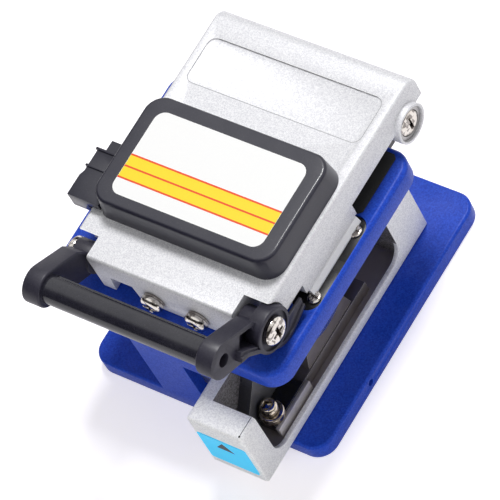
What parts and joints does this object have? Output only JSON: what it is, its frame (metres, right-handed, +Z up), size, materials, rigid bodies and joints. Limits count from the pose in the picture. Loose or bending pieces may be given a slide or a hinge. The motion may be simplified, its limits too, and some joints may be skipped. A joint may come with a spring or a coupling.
{
  "type": "fibre cleaver",
  "caption": "Bench-top cleaver for optical fibre: a hinged lid and a pull-down handle clamp the fibre over a deck, and a sliding carriage passes a round blade under it.",
  "frame": {"origin": "centre of the base plate's flat underside", "axes": "+X right (the slider side), +Y back (the hinge side), +Z up"},
  "size_m": [0.0634, 0.0826, 0.0576],
  "materials": {
    "blue_anodised": "satin blue coat on cast aluminium",
    "silver_cast": "fine speckled silver coat on cast metal",
    "black_plastic": "fine satin",
    "black_metal": "black oxide",
    "nickel": "bright nickel",
    "steel": "ground steel",
    "aluminium": "fine milled",
    "rubber_pad": "matt rubber",
    "white_label": "smooth",
    "blue_label": "smooth"
  },
  "bodies": {
    "base": {"base_frame": "blue_anodised", "deck": "blue_anodised", "deck_screws": "nickel", "guide_rail": "steel", "rail_screws": "nickel", "clamp_base_left": "black_metal", "clamp_base_right": "black_metal", "clamp_screws": "nickel", "lower_pads": "rubber_pad", "adapter_plate": "aluminium", "adapter_screws": "nickel", "keeper_plate": "steel", "lid_stop": "rubber_pad", "hinge_bracket": "blue_anodised", "bracket_screws": "nickel"},
    "slider": {"slider_body": "silver_cast", "guide_carriage": "steel", "carriage_screws": "nickel", "pocket_plate": "steel", "front_label": "blue_label", "blade_holder": "black_metal", "blade_axle": "nickel", "lock_ring": "steel", "lock_screw": "nickel", "side_plate": "steel", "reset_wedge": "black_metal"},
    "blade": {"blade_wheel": "steel"},
    "lid": {"lid_shell": "silver_cast", "hinge_pin": "nickel", "hinge_rings": "steel", "magnet_bar": "steel", "front_screws": "nickel", "upper_clamp_block": "black_metal", "upper_pads": "rubber_pad", "anvil_cover": "black_plastic", "label_plate": "white_label", "anvil_pivot_pin": "steel", "pivot_lugs": "steel", "anvil_spring": "steel", "pivot_screws": "nickel"},
    "anvil": {"anvil_arm": "black_plastic", "anvil_pad": "rubber_pad"},
    "handle": {"handle_arm_right": "black_plastic", "handle_arm_left": "black_plastic", "handle_bar": "black_plastic", "handle_rod": "steel"}
  },
  "joints": [
    {"name": "slider_slide", "type": "slide", "parent": "base", "child": "slider", "axis": [0, 1, 0], "range_m": [0, 0.0108]},
    {"name": "blade_turn", "type": "hinge", "parent": "slider", "child": "blade", "pos_m": [0.0218, -0.0098, 0.0256], "axis": [1, 0, 0], "continuous": true},
    {"name": "lid_hinge", "type": "hinge", "parent": "base", "child": "lid", "pos_m": [0.00255, 0.0297, 0.0417], "axis": [-1, 0, 0], "range_deg": [0, 100]},
    {"name": "handle_pivot", "type": "hinge", "parent": "lid", "child": "handle", "pos_m": [0.00255, -0.0266, 0.045], "axis": [1, 0, 0], "range_deg": [0, 30]},
    {"name": "anvil_rock", "type": "hinge", "parent": "lid", "child": "anvil", "pos_m": [-0.0097, -0.0049, 0.052], "axis": [0, -1, 0], "range_deg": [0, 2.5], "stiffness_Nm_per_rad": 0.02, "springref_deg": -5.73, "deforming": ["anvil_spring"]}
  ]
}
